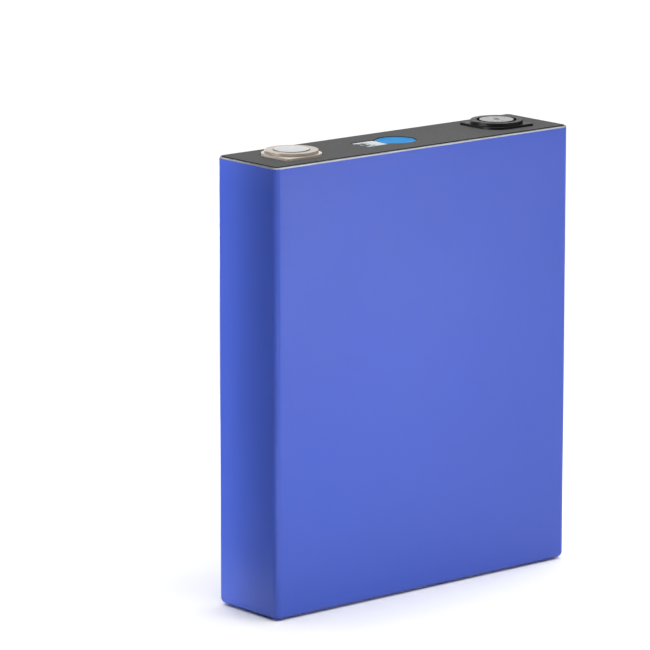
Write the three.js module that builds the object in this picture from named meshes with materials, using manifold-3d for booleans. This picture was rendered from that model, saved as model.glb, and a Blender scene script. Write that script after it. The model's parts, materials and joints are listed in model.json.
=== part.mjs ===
// Prismatic lithium iron phosphate battery cell, as it comes apart on a bench: a blue film wrap and a
// deep-drawn aluminium can, the lid with its two riveted terminals, burst vent and filling port, and
// inside them two wound electrode cores with their tabs, current collectors and plastic insulators.
// Millimetres, +Z up. The origin is the centre of the underside. The large faces look along -Y and +Y,
// and the positive terminal stands on the -X side of the lid.
import * as THREE from "three";
import { mergeVertices } from "three/addons/utils/BufferGeometryUtils.js";
import Module from "manifold-3d";

const wasm = await Module();
wasm.setup();

// ---------------------------------------------------------------- driving dimensions
const CELL_WIDTH = 174; // X, over the film
const CELL_DEPTH = 41.2; // Y, over the film
const CORNER_RADIUS = 2.8; // upright edges, over the film
const BOTTOM_RADIUS = 2.4; // lower edges, over the film
const WRAP_TOP = 203.7; // where the film stops, short of the lid
const LID_TOP = 204.4;
const CONTACT_TOP = 207.6; // welding faces of the terminals
const TERMINAL_X = 61; // from the middle of the lid to each terminal
const GAP = 0.05; // left between neighbouring pieces

const FILM = 0.15;
const CAN_WALL = 0.7;
const CAN_FLOOR = 1.5;
const LID_THICKNESS = 2.8;
const SHEET_THICKNESS = 0.4;
const SHEET_INSET = 0.9; // bare metal left round the top sheet
const BAG_THICKNESS = 0.2;
const TRAY_THICKNESS = 1;

const PLATE_HALF = 12.2; // square base plate under each terminal ring
const PLATE_TOP = 205.9;
const PLATE_ROUND = 9; // the two well-rounded corners, which key the plate
const PLATE_SHARP = 1.5; // the other two
const RING_RADIUS = 12;
const HEAD_RADIUS = 8;
const HEAD_THICKNESS = 1.3;
const SHAFT_RADIUS = 4.8;
const FLANGE_RADIUS = 9.6;
const FLANGE_THICKNESS = 1.7;
const LID_HOLE_RADIUS = 6.2;
const SEAL_THICKNESS = 0.9; // of the gasket's flange, under the lid

const VENT_RADIUS = 8.6; // burst disc
const VENT_FILM_RADIUS = 8.9;
const WINDOW_RADIUS = 9.3; // round part of the top sheet's window
const WINDOW_LEFT = -22; // its bare tab, towards the positive terminal
const WINDOW_HALF = 6.2;
const FILL_X = 27;

const CORE_TOP = 187.5;
const CORE_BOTTOM = 3.6;
const CORE_HALF_WIDTH = 83.9;
const CORE_THICKNESS = 18.4;
const CORE_Y = 9.65; // middle of each core
const TURNS = 5; // drawn coarse: the real winding has many more, of thinner foil
const MANDREL = 0.6; // half of the flat gap at the middle of the winding
const TAB_HALF_WIDTH = 20;
const TAB_THICKNESS = 0.8;

const ROUND_STEPS = 32; // sides of a full circle, on the outside of the cell
const CORNER_STEPS = 5; // sides of a quarter circle there
const INNER_ROUND_STEPS = 20; // and the same two inside it
const INNER_CORNER_STEPS = 3;

// ---------------------------------------------------------------- heights and half sizes
const HALF_X = CELL_WIDTH / 2;
const HALF_Y = CELL_DEPTH / 2;
const WRAP_BOTTOM = FILM + GAP;
const CAN_INSET = FILM + GAP; // from the wrap's outside to the can's
const CAN_BOTTOM = WRAP_BOTTOM + FILM + GAP;
const INSIDE_INSET = CAN_INSET + CAN_WALL; // from the wrap's outside to the can's inside
const INSIDE_BOTTOM = CAN_BOTTOM + CAN_FLOOR;
const TRAY_BOTTOM = INSIDE_BOTTOM + GAP;
const BAG_INSET = INSIDE_INSET + 3 * GAP;
const BAG_BOTTOM = TRAY_BOTTOM + TRAY_THICKNESS + GAP;
const BAG_TOP = 194;
const LID_BOTTOM = LID_TOP - LID_THICKNESS;
const SHEET_TOP = LID_TOP + SHEET_THICKNESS;
const INSULATOR_TOP = LID_BOTTOM - GAP;
const INSULATOR_BOTTOM = INSULATOR_TOP - 1.7;
const SEAL_BOTTOM = LID_BOTTOM - GAP - SEAL_THICKNESS;
const FLANGE_TOP = SEAL_BOTTOM - GAP;
const FLANGE_BOTTOM = FLANGE_TOP - FLANGE_THICKNESS;
const HEAD_BOTTOM = CONTACT_TOP - HEAD_THICKNESS;
const COLLECTOR_TOP = FLANGE_BOTTOM - GAP;
const COLLECTOR_THICKNESS = 1;
const TAB_TOP = COLLECTOR_TOP - COLLECTOR_THICKNESS - GAP;

// ---------------------------------------------------------------- materials
const finish = (color, roughness, metalness) =>
  new THREE.MeshStandardMaterial({ color, roughness, metalness });
const blueFilm = finish(0x4a5fcb, 0.35, 0);
const bareAluminium = finish(0xd4d6d9, 0.3, 1);
const satinAluminium = finish(0xdcd4c8, 0.35, 1);
const topSheet = finish(0x56565a, 0.6, 0);
const ventFilm = finish(0x3c9be6, 0.3, 0);
const paper = finish(0xe9e9e6, 0.6, 0);
const blackPlastic = finish(0x17171a, 0.45, 0);
const whitePlastic = finish(0xdfe0dc, 0.5, 0);
const sealRubber = finish(0x2b2b2b, 0.8, 0);
const copper = finish(0xc27a52, 0.35, 1);
const cathodeCoating = finish(0x2e2f33, 0.9, 0);
const anodeCoating = finish(0x1f1f22, 0.7, 0);
const separatorFilm = finish(0xf1f1ee, 0.6, 0);
const clearFilm = finish(0xc8d4d8, 0.25, 0);
const tapeFilm = finish(0x5fae6c, 0.4, 0);

// ---------------------------------------------------------------- outlines, as lists of points
function arc(cx, cy, r, from, to, steps) {
  return Array.from({ length: steps + 1 }, (_, i) => {
    const a = from + ((to - from) * i) / steps;
    return new THREE.Vector2(cx + r * Math.cos(a), cy + r * Math.sin(a));
  });
}

function circle(cx, cy, r, steps = ROUND_STEPS) {
  return arc(cx, cy, r, 0, 2 * Math.PI, steps).slice(0, -1);
}

// A rectangle about the origin. radii are those of its ++, -+, -- and +- corners.
function rectangle(halfX, halfY, radii, steps = CORNER_STEPS) {
  const [a, b, c, d] = Array.isArray(radii) ? radii : [radii, radii, radii, radii];
  const q = Math.PI / 2;
  return [
    ...arc(halfX - a, halfY - a, a, 0, q, steps),
    ...arc(b - halfX, halfY - b, b, q, 2 * q, steps),
    ...arc(c - halfX, c - halfY, c, 2 * q, 3 * q, steps),
    ...arc(halfX - d, d - halfY, d, 3 * q, 4 * q, steps),
  ];
}

const shifted = (outline, x, y) => outline.map((p) => new THREE.Vector2(p.x + x, p.y + y));

// ---------------------------------------------------------------- solids
// A flat piece between two heights, with holes through it.
function plate(outline, z0, z1, holes = []) {
  const shape = new THREE.Shape(outline);
  shape.holes = holes.map((h) => new THREE.Path(h));
  const made = new THREE.ExtrudeGeometry(shape, { depth: z1 - z0, bevelEnabled: false });
  return made.translate(0, 0, z0);
}

// A piece turned about Z, from its section: pairs of radius and height, anticlockwise.
function turned(section, steps = ROUND_STEPS) {
  const points = section.map(([r, z]) => new THREE.Vector2(r, z));
  return new THREE.LatheGeometry([...points, points[0].clone()], steps).rotateX(Math.PI / 2);
}

const disc = (r, z0, z1, steps = ROUND_STEPS) => plate(circle(0, 0, r, steps), z0, z1);

// Joins level outlines of equal count into one surface, and closes the first and the last.
function loft(levels) {
  const count = levels[0].points.length;
  const position = levels.flatMap(({ z, points }) => points.flatMap((p) => [p.x, p.y, z]));
  const index = [];
  for (let k = 0; k + 1 < levels.length; k++)
    for (let i = 0; i < count; i++) {
      const [a, b] = [k * count + i, k * count + ((i + 1) % count)];
      index.push(a, b, b + count, a, b + count, a + count);
    }
  const last = (levels.length - 1) * count;
  for (let i = 1; i + 1 < count; i++) {
    index.push(0, i + 1, i);
    index.push(last, last + i, last + i + 1);
  }
  const made = new THREE.BufferGeometry();
  made.setAttribute("position", new THREE.Float32BufferAttribute(position, 3));
  return made.setIndex(index);
}

// One skin of a cup, from its floor up: upright corners and a rounded lower edge.
function cupLevels(inset, z0, z1, steps) {
  const bottom = BOTTOM_RADIUS - inset;
  const side = (z, inward) => ({
    z,
    points: rectangle(
      HALF_X - inset - inward,
      HALF_Y - inset - inward,
      CORNER_RADIUS - inset - inward,
      steps,
    ),
  });
  const edge = Array.from({ length: steps + 1 }, (_, i) => {
    const a = (i / steps) * (Math.PI / 2);
    return side(z0 + bottom * (1 - Math.cos(a)), bottom * (1 - Math.sin(a)));
  });
  return [...edge, side(z1, 0)];
}

// An open-topped cup whose outer skin lies inset from the cell's outside.
function cup(inset, wall, floor, z0, z1, steps = CORNER_STEPS) {
  const outside = cupLevels(inset, z0, z1, steps);
  const inside = cupLevels(inset + wall, z0 + floor, z1, steps).reverse();
  return loft([...outside, ...inside]);
}

// ---------------------------------------------------------------- booleans
function solid(geometry) {
  const bare = geometry.clone();
  bare.deleteAttribute("normal");
  bare.deleteAttribute("uv");
  const merged = mergeVertices(bare, 1e-4);
  return new wasm.Manifold(
    new wasm.Mesh({
      numProp: 3,
      vertProperties: merged.attributes.position.array,
      triVerts: new Uint32Array(merged.index.array),
    }),
  );
}

function geometryOf(made) {
  const { vertProperties, triVerts } = made.getMesh();
  const geometry = new THREE.BufferGeometry();
  geometry.setAttribute("position", new THREE.BufferAttribute(vertProperties, 3));
  return geometry.setIndex(new THREE.BufferAttribute(triVerts, 1));
}

const cut = (body, ...tools) =>
  geometryOf(tools.reduce((left, tool) => left.subtract(solid(tool)), solid(body)));

// ---------------------------------------------------------------- the assembly
const cell = new THREE.Group();

function add(parent, name, geometry, material) {
  geometry.computeVertexNormals();
  const mesh = new THREE.Mesh(geometry, material);
  mesh.name = name;
  parent.add(mesh);
}

// Film wrap, the sheet that closes it underneath, and the can.
function addCasing() {
  add(cell, "bottom_film", plate(rectangle(HALF_X - 5, HALF_Y - 5, 3), 0, FILM), blueFilm);
  add(cell, "wrap_film", cup(0, FILM, FILM, WRAP_BOTTOM, WRAP_TOP), blueFilm);
  const can = cup(CAN_INSET, CAN_WALL, CAN_FLOOR, CAN_BOTTOM, LID_TOP);
  add(cell, "can", can, bareAluminium);
}

const FILL_BORE = 1.6;
const PLUG_SEAT = { radius: 2.8, top: LID_TOP - 0.9, bottom: LID_TOP - 1.6 };
const CAP_SEAT = { radius: 4, bottom: PLUG_SEAT.top };
const VENT_SEAT_BOTTOM = LID_TOP - 0.6;
const VENT_THROAT = 7.4;

// A stepped hole right through the lid, from a list of [radius, height where it begins].
function lidHole(x, ...steps) {
  const below = LID_BOTTOM - 1;
  const above = LID_TOP + 1;
  const section = [[0, below]];
  steps.forEach(([r, from], i) => {
    const to = i + 1 < steps.length ? steps[i + 1][1] : above;
    section.push([r, i ? from : below], [r, to]);
  });
  section.push([0, above]);
  return turned(section, INNER_ROUND_STEPS).translate(x, 0, 0);
}

function addLid() {
  const fit = INSIDE_INSET + GAP;
  const outline = rectangle(HALF_X - fit, HALF_Y - fit, CORNER_RADIUS - fit);
  const lid = cut(
    plate(outline, LID_BOTTOM, LID_TOP),
    lidHole(-TERMINAL_X, [LID_HOLE_RADIUS, LID_BOTTOM]),
    lidHole(TERMINAL_X, [LID_HOLE_RADIUS, LID_BOTTOM]),
    lidHole(0, [VENT_THROAT, LID_BOTTOM], [VENT_RADIUS + GAP, VENT_SEAT_BOTTOM]),
    lidHole(
      FILL_X,
      [FILL_BORE, LID_BOTTOM],
      [PLUG_SEAT.radius, PLUG_SEAT.bottom],
      [CAP_SEAT.radius, CAP_SEAT.bottom],
    ),
  );
  add(cell, "lid", lid, bareAluminium);
}

// Outline of a terminal's base plate. side is -1 for the positive one, and 1 for the negative.
function keyedPlate(side, grow = 0) {
  const [round, sharp] = [PLATE_ROUND + grow, PLATE_SHARP + grow];
  const radii = side < 0 ? [sharp, round, sharp, round] : [round, sharp, round, sharp];
  return rectangle(PLATE_HALF + grow, PLATE_HALF + grow, radii);
}

function addTopSheet() {
  const inset = CAN_INSET + SHEET_INSET;
  const outline = rectangle(HALF_X - inset, HALF_Y - inset, CORNER_RADIUS - inset);
  const plateClearance = 0.3;
  const holes = [-1, 1].map((side) =>
    shifted(keyedPlate(side, plateClearance), side * TERMINAL_X, 0),
  );
  const halfMouth = Math.asin(WINDOW_HALF / WINDOW_RADIUS);
  holes.push([
    ...arc(0, 0, WINDOW_RADIUS, halfMouth - Math.PI, Math.PI - halfMouth, ROUND_STEPS),
    new THREE.Vector2(WINDOW_LEFT, WINDOW_HALF),
    new THREE.Vector2(WINDOW_LEFT, -WINDOW_HALF),
  ]);
  add(cell, "top_sheet", plate(outline, LID_TOP + GAP, SHEET_TOP, holes), topSheet);
}

// Burst disc: a stiff rim round a thin domed membrane, with a scored circle.
function addVent() {
  const base = VENT_SEAT_BOTTOM + GAP;
  const rim = 0.45;
  const skin = 0.15;
  const dome = 0.2;
  const scoreRadius = 5;
  const membrane = VENT_THROAT - 0.4;
  const section = [
    [0, base + dome],
    [scoreRadius, base + dome / 2],
    [membrane, base],
    [VENT_RADIUS, base],
    [VENT_RADIUS, base + rim],
    [membrane, base + rim],
    [membrane, base + skin],
    [scoreRadius + 0.3, base + dome / 2 + skin],
    [scoreRadius, base + dome / 2 + skin / 2],
    [scoreRadius - 0.3, base + dome / 2 + skin],
    [0, base + dome + skin],
  ];
  add(cell, "vent_disc", turned(section, INNER_ROUND_STEPS), bareAluminium);
  const film = disc(VENT_FILM_RADIUS, LID_TOP + GAP, LID_TOP + GAP + 0.1);
  add(cell, "vent_film", film, ventFilm);
}

// Blank tracking label in the square end of the window.
function addLabel() {
  const [left, right] = [WINDOW_LEFT + 0.4, -VENT_FILM_RADIUS - 0.3];
  const outline = rectangle((right - left) / 2, WINDOW_HALF - 0.4, 0.4, 2);
  const label = plate(shifted(outline, (left + right) / 2, 0), LID_TOP + GAP, LID_TOP + GAP + 0.1);
  add(cell, "tracking_label", label, paper);
}

// Rubber plug pressed into the filling port, and the cap welded over it.
function addFillingPort() {
  const port = new THREE.Group();
  port.position.x = FILL_X;
  cell.add(port);
  const head = PLUG_SEAT.radius - 0.1;
  const stem = FILL_BORE - 0.1;
  const plug = turned(
    [
      [0, LID_BOTTOM + 0.2],
      [stem - 0.3, LID_BOTTOM + 0.2],
      [stem, LID_BOTTOM + 0.6],
      [stem, PLUG_SEAT.bottom + GAP],
      [head, PLUG_SEAT.bottom + GAP],
      [head, PLUG_SEAT.top - GAP],
      [0, PLUG_SEAT.top - GAP],
    ],
    16,
  );
  add(port, "fill_plug", plug, sealRubber);
  const capRadius = CAP_SEAT.radius - 0.1;
  const cap = disc(capRadius, CAP_SEAT.bottom + GAP, LID_TOP - GAP, INNER_ROUND_STEPS);
  add(port, "fill_cap", cap, bareAluminium);
}

// The shaft and inner flange that both poles share, up to the given height.
const poleFoot = (top) => [
  [0, FLANGE_BOTTOM],
  [FLANGE_RADIUS, FLANGE_BOTTOM],
  [FLANGE_RADIUS, FLANGE_TOP],
  [SHAFT_RADIUS, FLANGE_TOP],
  [SHAFT_RADIUS, top],
];

function addTerminal(name, side, plateMaterial, wellRadius) {
  const terminal = new THREE.Group();
  terminal.position.x = side * TERMINAL_X;
  cell.add(terminal);
  const bore = SHAFT_RADIUS + 0.2;
  const hole = circle(0, 0, bore, INNER_ROUND_STEPS);
  const base = plate(keyedPlate(side), LID_TOP + GAP, PLATE_TOP, [hole]);
  add(terminal, `${name}_terminal_plate`, base, plateMaterial);

  const ringBottom = PLATE_TOP + GAP;
  const ringTop = CONTACT_TOP - (side < 0 ? 0.3 : 0.1);
  const ledge = HEAD_BOTTOM - GAP;
  const edge = 0.25;
  const ring = turned([
    [bore, ringBottom],
    [RING_RADIUS, ringBottom],
    [RING_RADIUS, ringTop - edge],
    [RING_RADIUS - edge, ringTop],
    [wellRadius, ringTop],
    [wellRadius, ledge],
    [bore, ledge],
  ]);
  add(terminal, `${name}_terminal_ring`, ring, plateMaterial);

  const seal = [
    [SHAFT_RADIUS + 0.1, SEAL_BOTTOM],
    [FLANGE_RADIUS - 0.6, SEAL_BOTTOM],
    [FLANGE_RADIUS - 0.6, LID_BOTTOM - GAP],
    [LID_HOLE_RADIUS - 0.2, LID_BOTTOM - GAP],
    [LID_HOLE_RADIUS - 0.2, LID_TOP - 0.2],
    [SHAFT_RADIUS + 0.1, LID_TOP - 0.2],
  ];
  add(terminal, `${name}_seal_ring`, turned(seal, INNER_ROUND_STEPS), sealRubber);
  return terminal;
}

const HEAD_EDGE = 0.2;
const headTop = (r) => [
  [r, CONTACT_TOP - HEAD_EDGE],
  [r - HEAD_EDGE, CONTACT_TOP],
];

// The positive pole is one aluminium rivet.
function addPositiveTerminal() {
  const terminal = addTerminal("positive", -1, satinAluminium, HEAD_RADIUS + 0.25);
  const pole = turned([
    ...poleFoot(HEAD_BOTTOM),
    [HEAD_RADIUS, HEAD_BOTTOM],
    ...headTop(HEAD_RADIUS),
    [0, CONTACT_TOP],
  ]);
  add(terminal, "positive_pole", pole, bareAluminium);
}

// The negative pole is copper, with an aluminium disc on top that the busbar is welded to.
function addNegativeTerminal() {
  const terminal = addTerminal("negative", 1, blackPlastic, HEAD_RADIUS + 1.2);
  const shaftTop = HEAD_BOTTOM - GAP;
  const pole = turned([...poleFoot(shaftTop), [0, shaftTop]], INNER_ROUND_STEPS);
  add(terminal, "negative_pole", pole, copper);
  const dimple = 0.7;
  const contact = turned([
    [0, HEAD_BOTTOM],
    [HEAD_RADIUS, HEAD_BOTTOM],
    ...headTop(HEAD_RADIUS),
    [dimple, CONTACT_TOP],
    [0, CONTACT_TOP - dimple / 2],
  ]);
  add(terminal, "negative_contact_disc", contact, bareAluminium);
}

const GUARD_HALF_X = 12;
const GUARD_HALF_Y = 10;

// Plastic half under the lid: a plate with a skirt, clear of the pole flange and of the vent.
function lowerInsulator(side) {
  const inner = 0.5;
  const outer = HALF_X - INSIDE_INSET - 0.5;
  const halfLength = (outer - inner) / 2;
  const middle = side * (inner + halfLength);
  const halfY = HALF_Y - INSIDE_INSET - 0.5;
  const skirtDepth = 3.4;
  const skirtWall = 1.2;
  const body = plate(
    shifted(rectangle(halfLength, halfY, 1, INNER_CORNER_STEPS), middle, 0),
    INSULATOR_BOTTOM - skirtDepth,
    INSULATOR_TOP,
  );
  const hollow = plate(
    shifted(rectangle(halfLength - skirtWall, halfY - skirtWall, 0.5, 1), middle, 0),
    INSULATOR_BOTTOM - skirtDepth - 1,
    INSULATOR_BOTTOM,
  );
  const through = [INSULATOR_BOTTOM - 1, INSULATOR_TOP + 1, INNER_ROUND_STEPS];
  const poleHole = disc(FLANGE_RADIUS + 0.3, ...through);
  const ventGap = plate(
    rectangle(GUARD_HALF_X + 0.3, GUARD_HALF_Y + 0.3, 1, 1),
    INSULATOR_BOTTOM - skirtDepth - 1,
    INSULATOR_TOP + 1,
  );
  const tools = [hollow, poleHole.translate(side * TERMINAL_X, 0, 0), ventGap];
  if (side > 0) tools.push(disc(FILL_BORE + 1, ...through).translate(FILL_X, 0, 0));
  return cut(body, ...tools);
}

// Grille that keeps the cores from being blown against the burst disc.
function ventGuard() {
  const slots = 5;
  const pitch = 4;
  const slot = rectangle(1.1, 7, 1, 2);
  const holes = Array.from({ length: slots }, (_, i) =>
    shifted(slot, (i - (slots - 1) / 2) * pitch, 0),
  );
  const outline = rectangle(GUARD_HALF_X, GUARD_HALF_Y, 1.5, INNER_CORNER_STEPS);
  return plate(outline, INSULATOR_BOTTOM, INSULATOR_TOP, holes);
}

// Flat strap that joins a pole to its tabs. The slot beside the pole leaves a narrow fusing neck.
function collector(side) {
  const outline = rectangle(22.5, 14, 2, INNER_CORNER_STEPS);
  const slot = rectangle(1, 4, 0.9, 2);
  const neck = [-1, 1].map((way) => shifted(slot, -side * 13, way * 8));
  const bottom = COLLECTOR_TOP - COLLECTOR_THICKNESS;
  return plate(outline, bottom, COLLECTOR_TOP, neck).translate(side * TERMINAL_X, 0, 0);
}

function addUnderLid() {
  add(cell, "positive_lower_insulator", lowerInsulator(-1), whitePlastic);
  add(cell, "negative_lower_insulator", lowerInsulator(1), whitePlastic);
  add(cell, "vent_guard", ventGuard(), whitePlastic);
  add(cell, "positive_collector", collector(-1), bareAluminium);
  add(cell, "negative_collector", collector(1), copper);
}

// ---------------------------------------------------------------- wound cores
const WINDING_PITCH = (CORE_THICKNESS / 2 - MANDREL) / (TURNS + 0.5);
const WINDING_STEPS = 4; // sides of each half turn
const SLACK = 0.02; // air between layers
const SEPARATOR = 0.2;
const COATED = (WINDING_PITCH - 2 * SEPARATOR - 4 * SLACK) / 2;

// The flat spiral of one strip that lies from inner to inner + thickness within each turn.
// The winding turns about two posts, and runs straight between them.
function windingOutline(inner, thickness) {
  const post = CORE_HALF_WIDTH - CORE_THICKNESS / 2;
  const halfTurns = 2 * TURNS - 1;
  const line = (offset) => {
    const points = [];
    for (let h = 0; h < halfTurns; h++) {
      const centre = h % 2 ? -post : post;
      for (let i = 0; i <= WINDING_STEPS; i++) {
        const turn = h / 2 + i / WINDING_STEPS / 2;
        const angle = 2 * Math.PI * turn - Math.PI / 2;
        const r = MANDREL + WINDING_PITCH * turn + offset;
        points.push(new THREE.Vector2(centre + r * Math.cos(angle), r * Math.sin(angle)));
      }
    }
    return points;
  };
  return [...line(inner + thickness), ...line(inner).reverse()];
}

// One tab stack: it rises from the core's top edge and folds flat against the collector.
function tabStack(side, way) {
  const foot = [CORE_Y, CORE_TOP + 0.3];
  const fold = TAB_TOP - TAB_THICKNESS;
  const [far, near] = [12.5, 3];
  const bend = 191;
  const t = TAB_THICKNESS;
  const outline = [
    [foot[0] - t / 2, foot[1]],
    [foot[0] + t / 2, foot[1]],
    [foot[0] + t / 2, bend],
    [far + t, bend + 2],
    [far + t, TAB_TOP],
    [near, TAB_TOP],
    [near, fold],
    [far, fold],
    [far, bend + 2 + t],
    [foot[0] - t / 2, bend + t / 2],
  ].map(([y, z]) => new THREE.Vector2(way * y, z));
  const shape = new THREE.Shape(way < 0 ? outline.reverse() : outline);
  const depth = 2 * TAB_HALF_WIDTH;
  const made = new THREE.ExtrudeGeometry(shape, { depth, bevelEnabled: false });
  // The section's axes are Y and Z, and it is drawn out along X.
  made.rotateX(Math.PI / 2).rotateZ(Math.PI / 2);
  return made.translate(side * TERMINAL_X - TAB_HALF_WIDTH, 0, 0);
}

function addCore(name, way) {
  const core = new THREE.Group();
  core.position.y = way * CORE_Y;
  cell.add(core);
  let inner = 0;
  const layers = [
    ["inner_separator", SEPARATOR, 0, separatorFilm],
    ["anode", COATED, 1.5, anodeCoating],
    ["outer_separator", SEPARATOR, 0, separatorFilm],
    ["cathode", COATED, 2.5, cathodeCoating],
  ];
  for (const [layer, thickness, margin, material] of layers) {
    const outline = windingOutline(inner, thickness);
    const strip = plate(outline, CORE_BOTTOM + margin, CORE_TOP - margin);
    add(core, `${name}_core_${layer}`, strip, material);
    inner += thickness + SLACK;
  }
  for (const [pole, side, material] of [
    ["positive", -1, bareAluminium],
    ["negative", 1, copper],
  ])
    add(cell, `${name}_core_${pole}_tabs`, tabStack(side, way), material);
}

// A closed band of tape round both cores.
function groupTape(middle) {
  const [halfX, halfY, wall, halfWidth] = [84.3, 19.2, 0.1, 12];
  const outline = (inset) =>
    rectangle(halfX - inset, halfY - inset, 6 - inset, INNER_CORNER_STEPS);
  return plate(outline(0), middle - halfWidth, middle + halfWidth, [outline(wall)]);
}

function addCores() {
  addCore("front", -1);
  addCore("rear", 1);
  add(cell, "upper_group_tape", groupTape(150), tapeFilm);
  add(cell, "lower_group_tape", groupTape(40), tapeFilm);
  const tapeTop = TAB_TOP - TAB_THICKNESS - GAP;
  for (const [pole, side] of [
    ["positive", -1],
    ["negative", 1],
  ]) {
    const outline = rectangle(TAB_HALF_WIDTH, 11, 1, 1);
    const tape = plate(outline, tapeTop - 0.1, tapeTop);
    add(cell, `${pole}_tab_tape`, tape.translate(side * TERMINAL_X, 0, 0), tapeFilm);
  }
}

// Insulating bag round the cores, and the perforated tray that it stands on.
function addLinings() {
  const skin = [BAG_THICKNESS, BAG_THICKNESS];
  const bag = cup(BAG_INSET, ...skin, BAG_BOTTOM, BAG_TOP, INNER_CORNER_STEPS);
  add(cell, "insulating_bag", bag, clearFilm);
  const inset = INSIDE_INSET + 1.5;
  const outline = rectangle(HALF_X - inset, HALF_Y - inset, 1, INNER_CORNER_STEPS);
  const holes = [-60, -30, 0, 30, 60].map((x) => circle(x, 0, 4, 10));
  const tray = plate(outline, TRAY_BOTTOM, TRAY_BOTTOM + TRAY_THICKNESS, holes);
  add(cell, "bottom_tray", tray, whitePlastic);
}

addCasing();
addLid();
addTopSheet();
addVent();
addLabel();
addFillingPort();
addPositiveTerminal();
addNegativeTerminal();
addUnderLid();
addLinings();
addCores();

export default cell;
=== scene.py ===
import json
import math
import random

import bpy
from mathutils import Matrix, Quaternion, Vector
from mathutils.geometry import tessellate_polygon


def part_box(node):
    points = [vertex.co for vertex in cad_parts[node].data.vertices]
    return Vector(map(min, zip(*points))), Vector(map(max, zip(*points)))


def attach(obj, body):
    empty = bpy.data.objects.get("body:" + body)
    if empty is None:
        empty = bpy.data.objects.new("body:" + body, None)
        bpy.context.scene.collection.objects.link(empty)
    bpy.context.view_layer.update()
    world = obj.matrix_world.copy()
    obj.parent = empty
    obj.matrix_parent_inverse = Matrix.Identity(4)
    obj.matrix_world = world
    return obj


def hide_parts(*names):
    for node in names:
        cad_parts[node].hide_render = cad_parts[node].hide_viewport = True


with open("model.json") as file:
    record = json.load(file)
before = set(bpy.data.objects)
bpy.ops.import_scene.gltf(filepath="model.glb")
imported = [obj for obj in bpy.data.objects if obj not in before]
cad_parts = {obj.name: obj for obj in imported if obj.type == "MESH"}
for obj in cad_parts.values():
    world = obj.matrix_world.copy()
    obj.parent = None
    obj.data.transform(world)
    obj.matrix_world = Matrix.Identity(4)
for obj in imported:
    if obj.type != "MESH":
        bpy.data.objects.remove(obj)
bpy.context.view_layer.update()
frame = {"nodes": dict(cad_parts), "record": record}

MM = 0.001

# ---------------------------------------------------------------- fine dimensions
FILM = 0.15
FILM_CORNER = 2.8  # upright edges, over the film
FILM_BOTTOM = 3.0  # lower edges, over the film
PATCH_CORNER = 3
OVERLAP_WIDTH = 9  # of the film's two ends, on the side away from the positive terminal
OVERLAP_LIFT = 1.9  # of the strip's middle above the film's, clear of the lower edge
CAN_WALL = 0.7
CAN_FLOOR = 1.5
CAN_INSET = 0.2  # from the film's outside to the can's
LIP = 0.06  # rounding of the upper edge of film and can

SHEET_CORNER = 1.7
SHEET_GAP = 0.12  # round each base plate
WINDOW_RADIUS = 9.3  # round the vent film
WINDOW_LEFT = -22  # end of the window's tab, beside the label
WINDOW_HALF = 6.2  # half the width of that tab
WINDOW_CORNER = 0.5
DISH_LAND = 0.35  # flat rim of the vent film
DISH_SLOPE = 1.9  # width of the slope inside it
DISH_DEPTH = 0.17

PLATE_ROUND = 9  # two corners of a terminal's base plate
PLATE_SHARP = 1.5  # and its other two
PLATE_HOLE = 5
RING_LEDGE = 206.25  # height of the floor inside a terminal's ring
SHAFT_RADIUS = 4.8
FLANGE_RADIUS = 9.6
FLANGE_THICKNESS = 1.7
HEAD_RADIUS = 8
HEAD_THICKNESS = 1.3
DIMPLE_DEPTH = 0.6

ROUND_STEPS = 128
CORNER_STEPS = 14


def box(node):
    """Lowest and highest corner of a CAD node, in millimetres."""
    return [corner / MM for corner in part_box(node)]


# ---------------------------------------------------------------- outlines
def arc(cx, cy, r, start, end, steps):
    """Points along an arc, from one angle to the other, in degrees."""
    points = []
    for i in range(steps + 1):
        a = math.radians(start + (end - start) * i / steps)
        points.append((cx + r * math.cos(a), cy + r * math.sin(a)))
    return points


def circle(r, steps=ROUND_STEPS, cx=0.0):
    return arc(cx, 0, r, 0, 360, steps)[:-1]


def rectangle(half_x, half_y, radii, steps=CORNER_STEPS):
    """A rectangle about the origin. radii are those of its ++, -+, -- and +- corners."""
    a, b, c, d = radii if isinstance(radii, tuple) else (radii,) * 4
    return (
        arc(half_x - a, half_y - a, a, 0, 90, steps)
        + arc(b - half_x, half_y - b, b, 90, 180, steps)
        + arc(c - half_x, c - half_y, c, 180, 270, steps)
        + arc(half_x - d, d - half_y, d, 270, 360, steps)
    )


def shifted(outline, x):
    return [(px + x, py) for px, py in outline]


def inset(outline, distance):
    """The anticlockwise outline moved inwards; a negative distance moves it outwards."""
    moved = []
    for i, point in enumerate(outline):
        here = Vector(point)
        before = (here - Vector(outline[i - 1])).normalized()
        after = (Vector(outline[(i + 1) % len(outline)]) - here).normalized()
        along = (before + after).normalized()
        inward = Vector((-along.y, along.x))
        stretch = max(0.5, inward.dot(Vector((-after.y, after.x))))
        moved.append(tuple(here + inward * distance / stretch))
    return moved


def evenly_split(outline, step):
    """The outline with each side cut into equal lengths of about one step."""
    points = []
    for i, (x, y) in enumerate(outline):
        end_x, end_y = outline[(i + 1) % len(outline)]
        count = max(1, round(math.dist((x, y), (end_x, end_y)) / step))
        for k in range(count):
            t = k / count
            points.append((x + (end_x - x) * t, y + (end_y - y) * t))
    return points


def softened(section, radius, steps=3):
    """The section with each corner off the axis rounded."""
    out = []
    count = len(section)
    for i, point in enumerate(section):
        here = Vector(point)
        before = Vector(section[i - 1]) - here
        after = Vector(section[(i + 1) % count]) - here
        if here.x < 1e-6:
            out.append(tuple(here))
            continue
        reach = min(radius, before.length * 0.45, after.length * 0.45)
        start = here + before.normalized() * reach
        end = here + after.normalized() * reach
        for k in range(steps + 1):
            t = k / steps
            out.append(tuple(start * (1 - t) ** 2 + here * 2 * t * (1 - t) + end * t * t))
    return out


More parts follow.
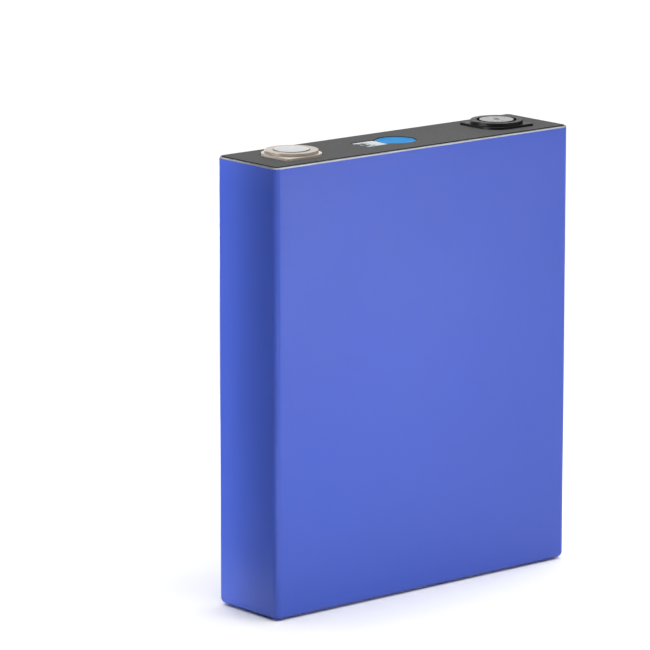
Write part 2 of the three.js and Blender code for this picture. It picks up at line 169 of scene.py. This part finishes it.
# ---------------------------------------------------------------- pieces
def piece(name, verts, faces, material, slot, replaces=(), sharp=35):
    """Makes an object from points in millimetres, smooth but for its sharp edges."""
    mesh = bpy.data.meshes.new(name)
    mesh.from_pydata([[c * MM for c in v] for v in verts], [], faces)
    mesh.validate()
    mesh.shade_smooth()
    mesh.set_sharp_from_angle(angle=math.radians(sharp))
    obj = bpy.data.objects.new(name, mesh)
    bpy.context.collection.objects.link(obj)
    obj.data.materials.append(material)
    even = obj.modifiers.new("even_normals", "WEIGHTED_NORMAL")
    even.keep_sharp = True
    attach(obj, "root")
    if replaces:
        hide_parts(*replaces)
    return obj


def ring_faces(start_a, start_b, count):
    """Quads between two rings of points, numbered from start_a and start_b."""
    faces = []
    for i in range(count):
        j = (i + 1) % count
        faces.append((start_a + i, start_a + j, start_b + j, start_b + i))
    return faces


def plate_mesh(outline, z0, z1, holes=(), edge=0.1, steps=3):
    """A flat piece between two heights, with holes through it and its edges rounded."""
    verts, faces, bottoms, tops = [], [], [], []
    for loop, way in [(outline, 1)] + [(hole, -1) for hole in holes]:
        levels = []
        for i in range(steps + 1):
            a = math.radians(90 * i / steps)
            levels.append((edge * (1 - math.sin(a)), z0 + edge * (1 - math.cos(a))))
        levels += [(inward, z0 + z1 - z) for inward, z in reversed(levels)]
        starts = []
        for inward, z in levels:
            starts.append(len(verts))
            verts += [(x, y, z) for x, y in inset(loop, inward * way)]
        for low, high in zip(starts, starts[1:]):
            made = ring_faces(low, high, len(loop))
            faces += made if way > 0 else [f[::-1] for f in made]
        bottoms.append(range(starts[0], starts[0] + len(loop)))
        tops.append(range(starts[-1], starts[-1] + len(loop)))
    for rings, up in ((bottoms, False), (tops, True)):
        numbers = [n for ring in rings for n in ring]
        loops = [[Vector(verts[n]) for n in ring] for ring in rings]
        for a, b, c in tessellate_polygon(loops):
            a, b, c = numbers[a], numbers[b], numbers[c]
            ab = Vector(verts[b]) - Vector(verts[a])
            ac = Vector(verts[c]) - Vector(verts[a])
            if (ab.x * ac.y - ab.y * ac.x > 0) != up:
                b, c = c, b
            faces.append((a, b, c))
    return verts, faces


def turned_mesh(section, x=0.0, steps=ROUND_STEPS):
    """A piece turned about an upright axis, from its section of radius and height."""
    verts, faces, rings = [], [], []
    for r, z in section:
        rings.append((len(verts), r > 1e-6))
        for px, py in circle(r, steps) if r > 1e-6 else [(0, 0)]:
            verts.append((x + px, py, z))
    pairs = list(zip(rings, rings[1:] + rings[:1]))
    for (a, a_round), (b, b_round) in pairs:
        for i in range(steps):
            j = (i + 1) % steps
            if a_round and b_round:
                faces.append((a + i, a + j, b + j, b + i))
            elif b_round:
                faces.append((a, b + j, b + i))
            elif a_round:
                faces.append((a + i, a + j, b))
    return verts, faces


def cup_mesh(half, corner, bottom, wall, floor, z0, z1, lip):
    """An open-topped box with rounded corners, a rounded lower edge and a rounded lip."""
    half_x, half_y = half

    def level(inward, z):
        outline = rectangle(half_x - inward, half_y - inward, max(corner - inward, 0.05))
        return [(x, y, z) for x, y in outline]

    def skin(into, low, edge):
        levels = []
        for i in range(CORNER_STEPS + 1):
            a = math.radians(90 * i / CORNER_STEPS)
            levels.append(level(into + edge * (1 - math.sin(a)), low + edge * (1 - math.cos(a))))
        return levels

    rim = []
    for i in range(9):
        a = math.pi * i / 8
        rim.append(level(wall / 2 - wall / 2 * math.cos(a), z1 - lip + lip * math.sin(a)))
    levels = skin(0, z0, bottom) + rim + skin(wall, z0 + floor, bottom - wall)[::-1]
    count = len(levels[0])
    verts = [v for ring in levels for v in ring]
    faces = []
    for k in range(len(levels) - 1):
        faces += ring_faces(k * count, (k + 1) * count, count)
    last = (len(levels) - 1) * count
    faces.append(tuple(range(count))[::-1])
    faces.append(tuple(range(last, last + count)))
    return verts, faces


# ---------------------------------------------------------------- finishes
WAVE_PITCH = 0.3142  # from ring to ring of a wave texture of scale 1


class Finish:
    """A Principled material whose colour, roughness and surface come from procedural textures."""

    def __init__(self, name, color, roughness, metallic=0.0, specular=0.5):
        self.material = bpy.data.materials.new(name)
        self.material.use_nodes = True
        self.nodes = self.material.node_tree.nodes
        self.links = self.material.node_tree.links
        self.shader = self.nodes["Principled BSDF"]
        self.shader.inputs["Metallic"].default_value = metallic
        self.shader.inputs["Specular IOR Level"].default_value = specular
        self.shader.inputs["Roughness"].default_value = roughness
        self.shader.inputs["Base Color"].default_value = (*color, 1)
        coords = self.nodes.new("ShaderNodeTexCoord")
        self.coords, self.normal = coords.outputs["Object"], coords.outputs["Normal"]
        self.color = color
        self.bumps = None

    def node(self, kind, **values):
        made = self.nodes.new(kind)
        for key, value in values.items():
            if key in made.inputs:
                made.inputs[key].default_value = value
            else:
                setattr(made, key, value)
        return made

    def stretched(self, scale):
        """Coordinates stretched by a scale for each axis."""
        mapping = self.node("ShaderNodeMapping", Scale=scale)
        self.links.new(self.coords, mapping.inputs["Vector"])
        return mapping.outputs["Vector"]

    def noise(self, scale, detail=3.0, stretch=None):
        made = self.node("ShaderNodeTexNoise", Scale=scale, Detail=detail)
        made.noise_dimensions = "3D"
        vector = self.stretched(stretch) if stretch else self.coords
        self.links.new(vector, made.inputs["Vector"])
        return made.outputs["Fac"]

    def rings(self, x, pitch):
        """Turning marks: circles round an upright axis, at a pitch in millimetres."""
        mapping = self.node("ShaderNodeMapping", Location=(-x * MM, 0, 0))
        flat = self.node("ShaderNodeMapping", Scale=(1, 1, 0))
        wave = self.node("ShaderNodeTexWave", wave_type="RINGS", rings_direction="Z")
        wave.inputs["Scale"].default_value = WAVE_PITCH / (pitch * MM)
        wave.inputs["Distortion"].default_value = 0.6
        self.links.new(self.coords, mapping.inputs["Vector"])
        self.links.new(mapping.outputs["Vector"], flat.inputs["Vector"])
        self.links.new(flat.outputs["Vector"], wave.inputs["Vector"])
        return wave.outputs["Fac"]

    def spread(self, value, low, high):
        """A value from 0.3 to 0.7, as noise mostly is, spread over low to high."""
        ramp = self.node("ShaderNodeMapRange")
        ramp.inputs["From Min"].default_value = 0.3
        ramp.inputs["From Max"].default_value = 0.7
        ramp.inputs["To Min"].default_value = low
        ramp.inputs["To Max"].default_value = high
        self.links.new(value, ramp.inputs["Value"])
        return ramp.outputs["Result"]

    def tint(self, value, shade, low=0.35, high=0.65):
        """Mixes the base colour towards its shade as the value rises from low to high."""
        ramp = self.node("ShaderNodeValToRGB")
        ramp.color_ramp.elements[0].position = low
        ramp.color_ramp.elements[1].position = high
        ramp.color_ramp.elements[0].color = (*self.color, 1)
        ramp.color_ramp.elements[1].color = (*shade, 1)
        self.links.new(value, ramp.inputs["Fac"])
        self.links.new(ramp.outputs["Color"], self.shader.inputs["Base Color"])

    def sides(self, shade):
        """Paints shade on the upright faces, which the light over the object leaves dull, and
        leaves the flat ones as they are.
        """
        split = self.node("ShaderNodeSeparateXYZ")
        ramp = self.node("ShaderNodeMapRange")
        ramp.inputs["From Min"].default_value = 0.35
        ramp.inputs["From Max"].default_value = 0.85
        mix = self.node("ShaderNodeMixRGB", Color1=(*shade, 1))
        self.links.new(self.normal, split.inputs["Vector"])
        self.links.new(split.outputs["Z"], ramp.inputs["Value"])
        self.links.new(ramp.outputs["Result"], mix.inputs["Fac"])
        was = self.shader.inputs["Base Color"].links[0].from_socket
        self.links.new(was, mix.inputs["Color2"])
        self.links.new(mix.outputs["Color"], self.shader.inputs["Base Color"])

    def rough(self, value, low, high):
        self.links.new(self.spread(value, low, high), self.shader.inputs["Roughness"])

    def bump(self, value, depth, strength=1.0):
        """Adds a relief, with its depth in millimetres."""
        made = self.node("ShaderNodeBump", Strength=strength, Distance=depth * MM)
        self.links.new(value, made.inputs["Height"])
        if self.bumps:
            self.links.new(self.bumps, made.inputs["Normal"])
        self.bumps = made.outputs["Normal"]
        self.links.new(self.bumps, self.shader.inputs["Normal"])


def film_finish():
    f = Finish("blue_film", (0.028, 0.070, 0.42), 0.38)
    f.tint(f.noise(14, 2), (0.027, 0.067, 0.41))
    f.rough(f.noise(90, 3), 0.36, 0.40)
    f.bump(f.noise(900, 2), 0.004, 0.35)
    return f.material


def metal_finish(name, color, shade, roughness, brushed=None, metallic=1.0):
    f = Finish(name, color, roughness, metallic=metallic)
    f.tint(f.noise(300, 4), shade)
    f.rough(f.noise(700, 3, brushed), roughness - 0.05, roughness + 0.08)
    f.bump(f.noise(2500, 2, brushed), 0.01, 0.3)
    return f.material


def turned_finish(name, color, shade, roughness, x, pitch, sides, metallic=1.0):
    f = Finish(name, color, roughness, metallic=metallic)
    f.tint(f.noise(250, 3), shade)
    # Painted shade: the sides colour goes on the upright faces.
    f.sides(sides)
    f.rough(f.noise(900, 3), roughness - 0.05, roughness + 0.06)
    f.bump(f.rings(x, pitch), 0.006, 0.5)
    f.bump(f.noise(3000, 2), 0.006, 0.3)
    return f.material


def plastic_finish(name, color, shade, roughness, grain=1800, depth=0.012, specular=0.5,
                   sides=None):
    f = Finish(name, color, roughness, specular=specular)
    f.tint(f.noise(grain, 3), shade)
    # Painted shade: a sides colour, if given, goes on the upright faces.
    if sides:
        f.sides(sides)
    f.rough(f.noise(grain / 2, 2), roughness - 0.06, roughness + 0.08)
    f.bump(f.noise(grain, 3), depth, 0.5)
    return f.material


TERMINAL_X = (box("positive_pole")[0].x + box("positive_pole")[1].x) / 2  # the positive one
MATERIALS = {
    "blue_film": film_finish(),
    "can_aluminium": metal_finish(
        "can_aluminium", (0.57, 0.57, 0.60), (0.51, 0.51, 0.54), 0.36, (1, 1, 0.1)
    ),
    "lid_aluminium": metal_finish(
        "lid_aluminium", (0.86, 0.87, 0.88), (0.78, 0.79, 0.81), 0.3, (0.05, 1, 1)
    ),
    "weld": metal_finish(
        "weld", (0.42, 0.42, 0.43), (0.34, 0.34, 0.34), 0.32
    ),
    "terminal_aluminium": turned_finish(
        "terminal_aluminium", (0.61, 0.56, 0.50), (0.56, 0.51, 0.45), 0.42, TERMINAL_X, 0.25,
        # the next colour is painted shade on the ring's upright faces
        (0.38, 0.32, 0.28), 0.35
    ),
    # plate_aluminium is terminal_aluminium made about 1.4 times lighter for the same metal:
    # painted light on the plate's top
    "plate_aluminium": turned_finish(
        "plate_aluminium", (0.84, 0.77, 0.67), (0.78, 0.71, 0.61), 0.42, TERMINAL_X, 0.25,
        # the next colour is painted shade on the plate's upright faces
        (0.56, 0.49, 0.43), 0.35
    ),
    "positive_contact": turned_finish(
        "positive_contact", (0.88, 0.88, 0.89), (0.84, 0.84, 0.85), 0.36, TERMINAL_X, 0.2,
        # the next colour is painted shade on the contact head's upright faces
        (0.30, 0.26, 0.23)
    ),
    "negative_contact": turned_finish(
        "negative_contact", (0.31, 0.31, 0.31), (0.25, 0.25, 0.25), 0.3, -TERMINAL_X, 0.2,
        # the next colour is painted shade on the disc's upright faces and on the walls of its
        # dimple, which paints the dimple as a dark dot
        (0.05, 0.05, 0.05)
    ),
    "contact_aluminium": metal_finish(
        "contact_aluminium", (0.88, 0.88, 0.88), (0.80, 0.80, 0.81), 0.32, (1, 0.06, 1)
    ),
    "copper": metal_finish(
        "copper", (0.93, 0.53, 0.36), (0.82, 0.42, 0.27), 0.3, (1, 0.06, 1)
    ),
    "top_sheet": plastic_finish(
        "top_sheet", (0.101, 0.102, 0.101), (0.091, 0.092, 0.091), 0.75, 1400, 0.02, 0.12,
        # the next colour is painted shadow: a dark line along the sheet's edges and round its
        # holes
        (0.012, 0.012, 0.012)
    ),
    "black_plastic": plastic_finish(
        "black_plastic", (0.028, 0.028, 0.029), (0.036, 0.036, 0.037), 0.42, 1500, 0.01, 0.28,
        # the next colour is painted shade on the upright faces, which leaves the tops lighter
        (0.004, 0.004, 0.004)
    ),
    "white_plastic": plastic_finish(
        "white_plastic", (0.74, 0.75, 0.72), (0.70, 0.71, 0.68), 0.45
    ),
    "vent_film": plastic_finish(
        "vent_film", (0.028, 0.255, 0.60), (0.025, 0.24, 0.57), 0.34, 400, 0.004, 0.003
    ),
    "label": plastic_finish(
        "label", (0.62, 0.67, 0.70), (0.57, 0.62, 0.65), 0.6, 2500, 0.01, 0.2
    ),
    "label_ink": plastic_finish(
        "label_ink", (0.02, 0.02, 0.025), (0.035, 0.035, 0.04), 0.5, 2500, 0.004
    ),
    "seal_rubber": plastic_finish(
        "seal_rubber", (0.02, 0.02, 0.02), (0.03, 0.03, 0.03), 0.75, 1600, 0.02
    ),
    "cathode": plastic_finish(
        "cathode", (0.028, 0.028, 0.032), (0.045, 0.045, 0.05), 0.85, 3000, 0.02
    ),
    "anode": plastic_finish(
        "anode", (0.014, 0.014, 0.016), (0.026, 0.026, 0.03), 0.65, 3000, 0.02
    ),
    "separator": plastic_finish(
        "separator", (0.86, 0.86, 0.85), (0.80, 0.80, 0.80), 0.5, 900, 0.006
    ),
    "clear_film": plastic_finish(
        "clear_film", (0.55, 0.62, 0.65), (0.50, 0.58, 0.61), 0.2, 300, 0.02
    ),
    "tape": plastic_finish("tape", (0.10, 0.42, 0.14), (0.08, 0.36, 0.11), 0.35, 600, 0.01),
    "flag": plastic_finish("flag", (0.01, 0.01, 0.01), (0.012, 0.012, 0.012), 0.9, 40,
                           specular=0.1),
    "floor": plastic_finish("floor", (0.90, 0.90, 0.90), (0.89, 0.89, 0.89), 0.8, 40, 0.05, 0.1),
}

# ---------------------------------------------------------------- casing
WRAP = box("wrap_film")
CAN = box("can")
LID = box("lid")
SHEET = box("top_sheet")


def half_sizes(node_box):
    low, high = node_box
    return (high.x - low.x) / 2, (high.y - low.y) / 2


def add_casing():
    film = MATERIALS["blue_film"]
    sleeve = cup_mesh(
        half_sizes(WRAP), FILM_CORNER, FILM_BOTTOM, FILM, FILM, WRAP[0].z, WRAP[1].z, LIP
    )
    piece("film_sleeve", *sleeve, film, "blue_film", ["wrap_film"])

    low, high = box("bottom_film")
    patch = rectangle(*half_sizes((low, high)), PATCH_CORNER)
    piece("film_base_patch", *plate_mesh(patch, low.z, high.z, edge=0.05), film, "blue_film",
          ["bottom_film"])

    # The far end of the film laps over its start, up the middle of the hidden narrow side.
    half_height, sunk = (WRAP[1].z - WRAP[0].z) / 2, 0.03
    strip = rectangle(OVERLAP_WIDTH / 2, half_height - 2, 0.8, 4)
    verts, faces = plate_mesh(strip, 0, FILM, edge=0.06)
    middle = (WRAP[0].z + WRAP[1].z) / 2 + OVERLAP_LIFT
    turned_up = [(WRAP[1].x + z - sunk, x, y + middle) for x, y, z in verts]
    piece("film_overlap", turned_up, faces, film, "blue_film")

    can = cup_mesh(
        half_sizes(CAN), FILM_CORNER - CAN_INSET, FILM_BOTTOM - CAN_INSET, CAN_WALL, CAN_FLOOR,
        CAN[0].z, CAN[1].z, LIP,
    )
    piece("can_body", *can, MATERIALS["can_aluminium"], "can_aluminium", ["can"])


def add_weld():
    """Weld bead between can and lid: a low dome with overlapping ripples along its path."""
    width, height, pitch = 0.5, 0.045, 0.45
    middle = 0.55  # of the bead, from the can's outside
    across, sunk, bow = 7, 0.01, 0.25
    half_x, half_y = half_sizes(CAN)
    corner = FILM_CORNER - CAN_INSET - middle
    path = rectangle(half_x - middle, half_y - middle, corner, 24)
    dense = evenly_split(path, pitch / 3)
    verts, faces, travelled = [], [], 0.0
    for i, here in enumerate(dense):
        before, after = Vector(dense[i - 1]), Vector(dense[(i + 1) % len(dense)])
        along = (after - before).normalized()
        inward = Vector((-along.y, along.x))
        travelled += math.dist(dense[i - 1], here) if i else 0
        for k in range(across):
            s = k / (across - 1) * 2 - 1
            dome = math.sqrt(max(0.0, 1 - s * s))
            phase = (travelled + bow * s * s) / pitch
            ripple = 0.75 + 0.25 * math.sin(2 * math.pi * phase)
            x, y = Vector(here) + inward * s * width / 2
            verts.append((x, y, LID[1].z - sunk + height * dome * ripple))
    count = len(dense)
    for i in range(count):
        j = (i + 1) % count
        for k in range(across - 1):
            faces.append((i * across + k, j * across + k, j * across + k + 1, i * across + k + 1))
        a, b = i * across, j * across
        faces.append((a + across - 1, b + across - 1, b, a))
    piece("weld_seam", verts, faces, MATERIALS["weld"], "lid_aluminium", sharp=60)


def keyed_plate(side, half, grow=0.0):
    """A terminal's base plate: two corners well rounded, and two nearly sharp."""
    blunt, keen = PLATE_ROUND + grow, PLATE_SHARP + grow
    radii = (keen, blunt, keen, blunt) if side < 0 else (blunt, keen, blunt, keen)
    return rectangle(half + grow, half + grow, radii)


def add_top_sheet():
    outline = rectangle(*half_sizes(SHEET), SHEET_CORNER)
    half = half_sizes(box("positive_terminal_plate"))[0]
    holes = [shifted(keyed_plate(side, half, SHEET_GAP), -side * TERMINAL_X) for side in (-1, 1)]
    mouth = math.degrees(math.asin(WINDOW_HALF / WINDOW_RADIUS))
    window = arc(0, 0, WINDOW_RADIUS, mouth - 180, 180 - mouth, 96)
    for way in (1, -1):
        y = way * (WINDOW_HALF - WINDOW_CORNER)
        start, end = (90, 180) if way > 0 else (180, 270)
        window += arc(WINDOW_LEFT + WINDOW_CORNER, y, WINDOW_CORNER, start, end, 6)
    holes.append(window)
    sheet = plate_mesh(outline, SHEET[0].z, SHEET[1].z, holes, 0.07)
    piece("top_insulating_sheet", *sheet, MATERIALS["top_sheet"], "top_sheet", ["top_sheet"])


def add_vent_film():
    """A thin disc with a flat rim, sunk inside it where it rests on the burst disc."""
    low, high = box("vent_film")
    radius = (high.x - low.x) / 2
    inside = radius - DISH_LAND
    under = low.z - DISH_DEPTH
    dish = [(0, under), (inside - DISH_SLOPE, under), (inside, low.z), (radius, low.z)]
    dish += [(radius, high.z - 0.03), (radius - 0.05, high.z)]
    for k in range(9):
        turn = k / 8 * math.pi
        dish.append((inside - DISH_SLOPE * k / 8, high.z - DISH_DEPTH * (1 - math.cos(turn)) / 2))
    dish.append((0, high.z - DISH_DEPTH))
    piece("vent_cover_film", *turned_mesh(dish), MATERIALS["vent_film"], "vent_film",
          ["vent_film"])


def add_label():
    low, high = box("tracking_label")
    middle = (low + high) / 2
    label = shifted(rectangle(*half_sizes((low, high)), 0.4, 5), middle.x)
    piece("blank_label", *plate_mesh(label, low.z, high.z, edge=0.03), MATERIALS["label"],
          "label", ["tracking_label"])

    # A block of random squares, which spells nothing, stands for the printed tracking mark.
    chance = random.Random(7)
    columns, rows, solid_columns, dense, sparse = 12, 15, 7, 0.85, 0.35
    pitch, ink = 0.52, 0.51
    left, bottom = low.x + 0.2, middle.y - 4.2
    verts, faces = [], []
    for row in range(rows):
        for column in range(columns):
            if chance.random() > (dense if column < solid_columns else sparse):
                continue
            x, y = left + column * pitch, bottom + row * pitch
            square = [(x, y), (x + ink, y), (x + ink, y + ink), (x, y + ink)]
            made, sides = plate_mesh(square, high.z - 0.01, high.z + 0.012, edge=0.004, steps=1)
            faces += [tuple(n + len(verts) for n in side) for side in sides]
            verts += made
    piece("label_print", verts, faces, MATERIALS["label_ink"], "label")


# ---------------------------------------------------------------- terminals
def add_terminal(name, side, material, ring_material, slot, well):
    """Base plate and ring of a terminal. well is the radius of the ring's opening."""
    x = TERMINAL_X if side < 0 else -TERMINAL_X
    low, high = box(f"{name}_terminal_plate")
    outline = shifted(keyed_plate(side, half_sizes((low, high))[0]), x)
    hole = circle(PLATE_HOLE, 64, x)
    base = plate_mesh(outline, low.z, high.z, [hole], 0.14, 4)
    piece(f"{name}_base_plate", *base, material, slot, [f"{name}_terminal_plate"])

    low, high = box(f"{name}_terminal_ring")
    radius = half_sizes((low, high))[0]
    section = [
        (PLATE_HOLE, low.z), (radius, low.z), (radius, high.z),
        (well, high.z), (well, RING_LEDGE), (PLATE_HOLE, RING_LEDGE),
    ]
    ring = turned_mesh(softened(section, 0.15), x)
    piece(f"{name}_ring", *ring, ring_material, slot, [f"{name}_terminal_ring"])


def rivet_foot(node, top):
    """The shaft and inner flange of a pole, up to a height."""
    low = box(node)[0].z
    shoulder = low + FLANGE_THICKNESS
    return [
        (0, low), (FLANGE_RADIUS, low), (FLANGE_RADIUS, shoulder),
        (SHAFT_RADIUS, shoulder), (SHAFT_RADIUS, top),
    ]


def add_poles():
    top = box("positive_pole")[1].z
    under = top - HEAD_THICKNESS
    section = rivet_foot("positive_pole", under)
    section += [(HEAD_RADIUS, under), (HEAD_RADIUS, top), (0, top)]
    pole = turned_mesh(softened(section, 0.22), TERMINAL_X)
    piece("positive_pole_rivet", *pole, MATERIALS["positive_contact"], "contact_aluminium",
          ["positive_pole"])

    low, high = box("negative_contact_disc")
    section = [(0, low.z), (HEAD_RADIUS, low.z), (HEAD_RADIUS, high.z)]
    section += [(1.2, high.z), (1.0, high.z - 0.55), (0, high.z - DIMPLE_DEPTH)]
    disc = turned_mesh(softened(section, 0.2), -TERMINAL_X)
    piece("negative_contact_face", *disc, MATERIALS["negative_contact"], "contact_aluminium",
          ["negative_contact_disc"])

    top = box("negative_pole")[1].z
    section = rivet_foot("negative_pole", top) + [(0, top)]
    piece("negative_pole_rivet", *turned_mesh(softened(section, 0.2), -TERMINAL_X, steps=64),
          MATERIALS["copper"], "copper", ["negative_pole"])


# ---------------------------------------------------------------- stage
def area_light(name, place, aim, size, watts, spread=180, turn=0, glossy=True):
    """A soft panel out of the picture, in metres and degrees, turned about its own axis."""
    data = bpy.data.lights.new(name, "AREA")
    data.shape = "RECTANGLE"
    data.size, data.size_y = size
    data.energy = watts
    data.spread = math.radians(spread)
    light = bpy.data.objects.new(name, data)
    light.location = place
    light.rotation_mode = "QUATERNION"
    facing = (Vector(place) - Vector(aim)).to_track_quat("Z", "Y")
    light.rotation_quaternion = facing @ Quaternion((0, 0, 1), math.radians(turn))
    light.visible_camera = False
    light.visible_glossy = glossy
    bpy.context.collection.objects.link(light)


def add_camera():
    """The photograph's viewpoint, in metres and degrees."""
    azimuth, elevation, distance = math.radians(-40.1), math.radians(12.05), 2.187
    aim = Vector((-0.0220, 0.0233, 0.1188))
    back = Vector((
        math.sin(azimuth) * math.cos(elevation),
        -math.cos(azimuth) * math.cos(elevation),
        math.sin(elevation),
    ))
    data = bpy.data.cameras.new("camera")
    data.lens = 266.7
    camera = bpy.data.objects.new("camera", data)
    camera.location = aim + back * distance
    camera.rotation_mode = "QUATERNION"
    camera.rotation_quaternion = back.to_track_quat("Z", "Y")
    bpy.context.collection.objects.link(camera)
    bpy.context.scene.camera = camera


def add_floor():
    mesh = bpy.data.meshes.new("floor")
    reach, depth = 40, -0.0003
    mesh.from_pydata(
        [(-reach, -reach, depth), (reach, -reach, depth), (reach, reach, depth),
         (-reach, reach, depth)],
        [], [(0, 1, 2, 3)],
    )
    mesh.materials.append(MATERIALS["floor"])
    floor = bpy.data.objects.new("floor", mesh)
    bpy.context.collection.objects.link(floor)


def add_world():
    """Pale surroundings, brightest near the horizon."""
    world = bpy.data.worlds.new("studio")
    world.use_nodes = True
    nodes, links = world.node_tree.nodes, world.node_tree.links
    coords = nodes.new("ShaderNodeTexCoord")
    split = nodes.new("ShaderNodeSeparateXYZ")
    ramp = nodes.new("ShaderNodeValToRGB")
    # How high a direction points, from level at 0 to straight up at 1, and how bright it is.
    stops = ((0.0, 0.85), (0.06, 0.8), (0.13, 0.07), (1.0, 0.06))
    ramp.color_ramp.elements[0].position = stops[0][0]
    ramp.color_ramp.elements[1].position = stops[-1][0]
    for position, _ in stops[1:-1]:
        ramp.color_ramp.elements.new(position)
    for element, (position, level) in zip(ramp.color_ramp.elements, stops):
        element.color = (level, level, level, 1)
    links.new(coords.outputs["Generated"], split.inputs["Vector"])
    links.new(split.outputs["Z"], ramp.inputs["Fac"])
    links.new(ramp.outputs["Color"], nodes["Background"].inputs["Color"])
    bpy.context.scene.world = world


def add_lights():
    """A wide overhead sky, of which half shows in reflections, and weak panels round the cell."""
    strength, width, tilt = 1.7, math.radians(105), math.radians(10)
    for name, glossy in (("overhead", True), ("overhead_fill", False)):
        data = bpy.data.lights.new(name, "SUN")
        data.energy = strength
        data.angle = width
        sky = bpy.data.objects.new(name, data)
        sky.rotation_euler.y = tilt
        sky.visible_glossy = glossy
        bpy.context.collection.objects.link(sky)
    area_light("front_key", (0.18, -0.50, 0.12), (-0.06, -0.02, 0.11), (0.1, 0.1), 0.135,
               spread=60, glossy=False)
    area_light("floor_fill", (0.05, -0.25, 0.6), (0.05, -0.20, 0), (0.5, 0.2), 0.22, spread=50)
    area_light("side_strip", (-0.50, 0.138, 0.13), (-0.087, 0.022, 0.11), (0.03, 0.5), 0.055,
               spread=8)
    area_light("rear_card", (1.5, 1.8, 0.6), (0, 0, 0.2), (1.2, 0.5), 3.0)
    area_light("front_pool", (0.40, -0.66, 0.9), (0.40, -0.66, 0), (0.15, 0.15), 4.9, spread=22)
    area_light("corner_pool", (-0.43, -0.50, 0.6), (-0.43, -0.50, 0), (1.0, 0.05), 0.9,
               spread=10, turn=54)
    area_light("rear_key", (0.03, 0.36, 0.12), (0.03, 0, 0.12), (0.1, 0.1), 0.5)
    area_light("right_key", (0.36, 0.02, 0.12), (0.087, 0, 0.12), (0.1, 0.1), 0.25)


def add_flag(name, start, end, top):
    """A black upright card that is seen in reflections only, and keeps white floor out of them."""
    mesh = bpy.data.meshes.new(name)
    mesh.from_pydata(
        [(*start, 0), (*end, 0), (*end, top), (*start, top)], [], [(0, 1, 2, 3)],
    )
    mesh.materials.append(MATERIALS["flag"])
    flag = bpy.data.objects.new(name, mesh)
    bpy.context.collection.objects.link(flag)
    flag.visible_camera = False
    flag.visible_diffuse = False
    flag.visible_shadow = False


def dress_cad_nodes():
    """Gives each CAD node its procedural finish."""
    for part in frame["record"]["subparts"]:
        node = frame["nodes"][part["node"]]
        node.data.materials.clear()
        node.data.materials.append(MATERIALS[part["material_slot"]])


dress_cad_nodes()
add_casing()
add_weld()
add_top_sheet()
add_vent_film()
add_label()
add_terminal("positive", -1, MATERIALS["plate_aluminium"], MATERIALS["terminal_aluminium"],
             "terminal_aluminium", HEAD_RADIUS + 0.25)
add_terminal("negative", 1, MATERIALS["black_plastic"], MATERIALS["black_plastic"],
             "black_plastic", HEAD_RADIUS + 1.2)
add_poles()
add_camera()
add_floor()
add_world()
add_lights()
add_flag("left_flag", (-0.13, -0.05), (-0.13, 0.30), 0.195)
add_flag("front_flag", (-0.14, -0.24), (0.0, -0.24), 0.22)
add_flag("right_flag", (0.32, -0.12), (0.32, 0.25), 0.30)
bpy.context.scene.view_settings.view_transform = "Standard"
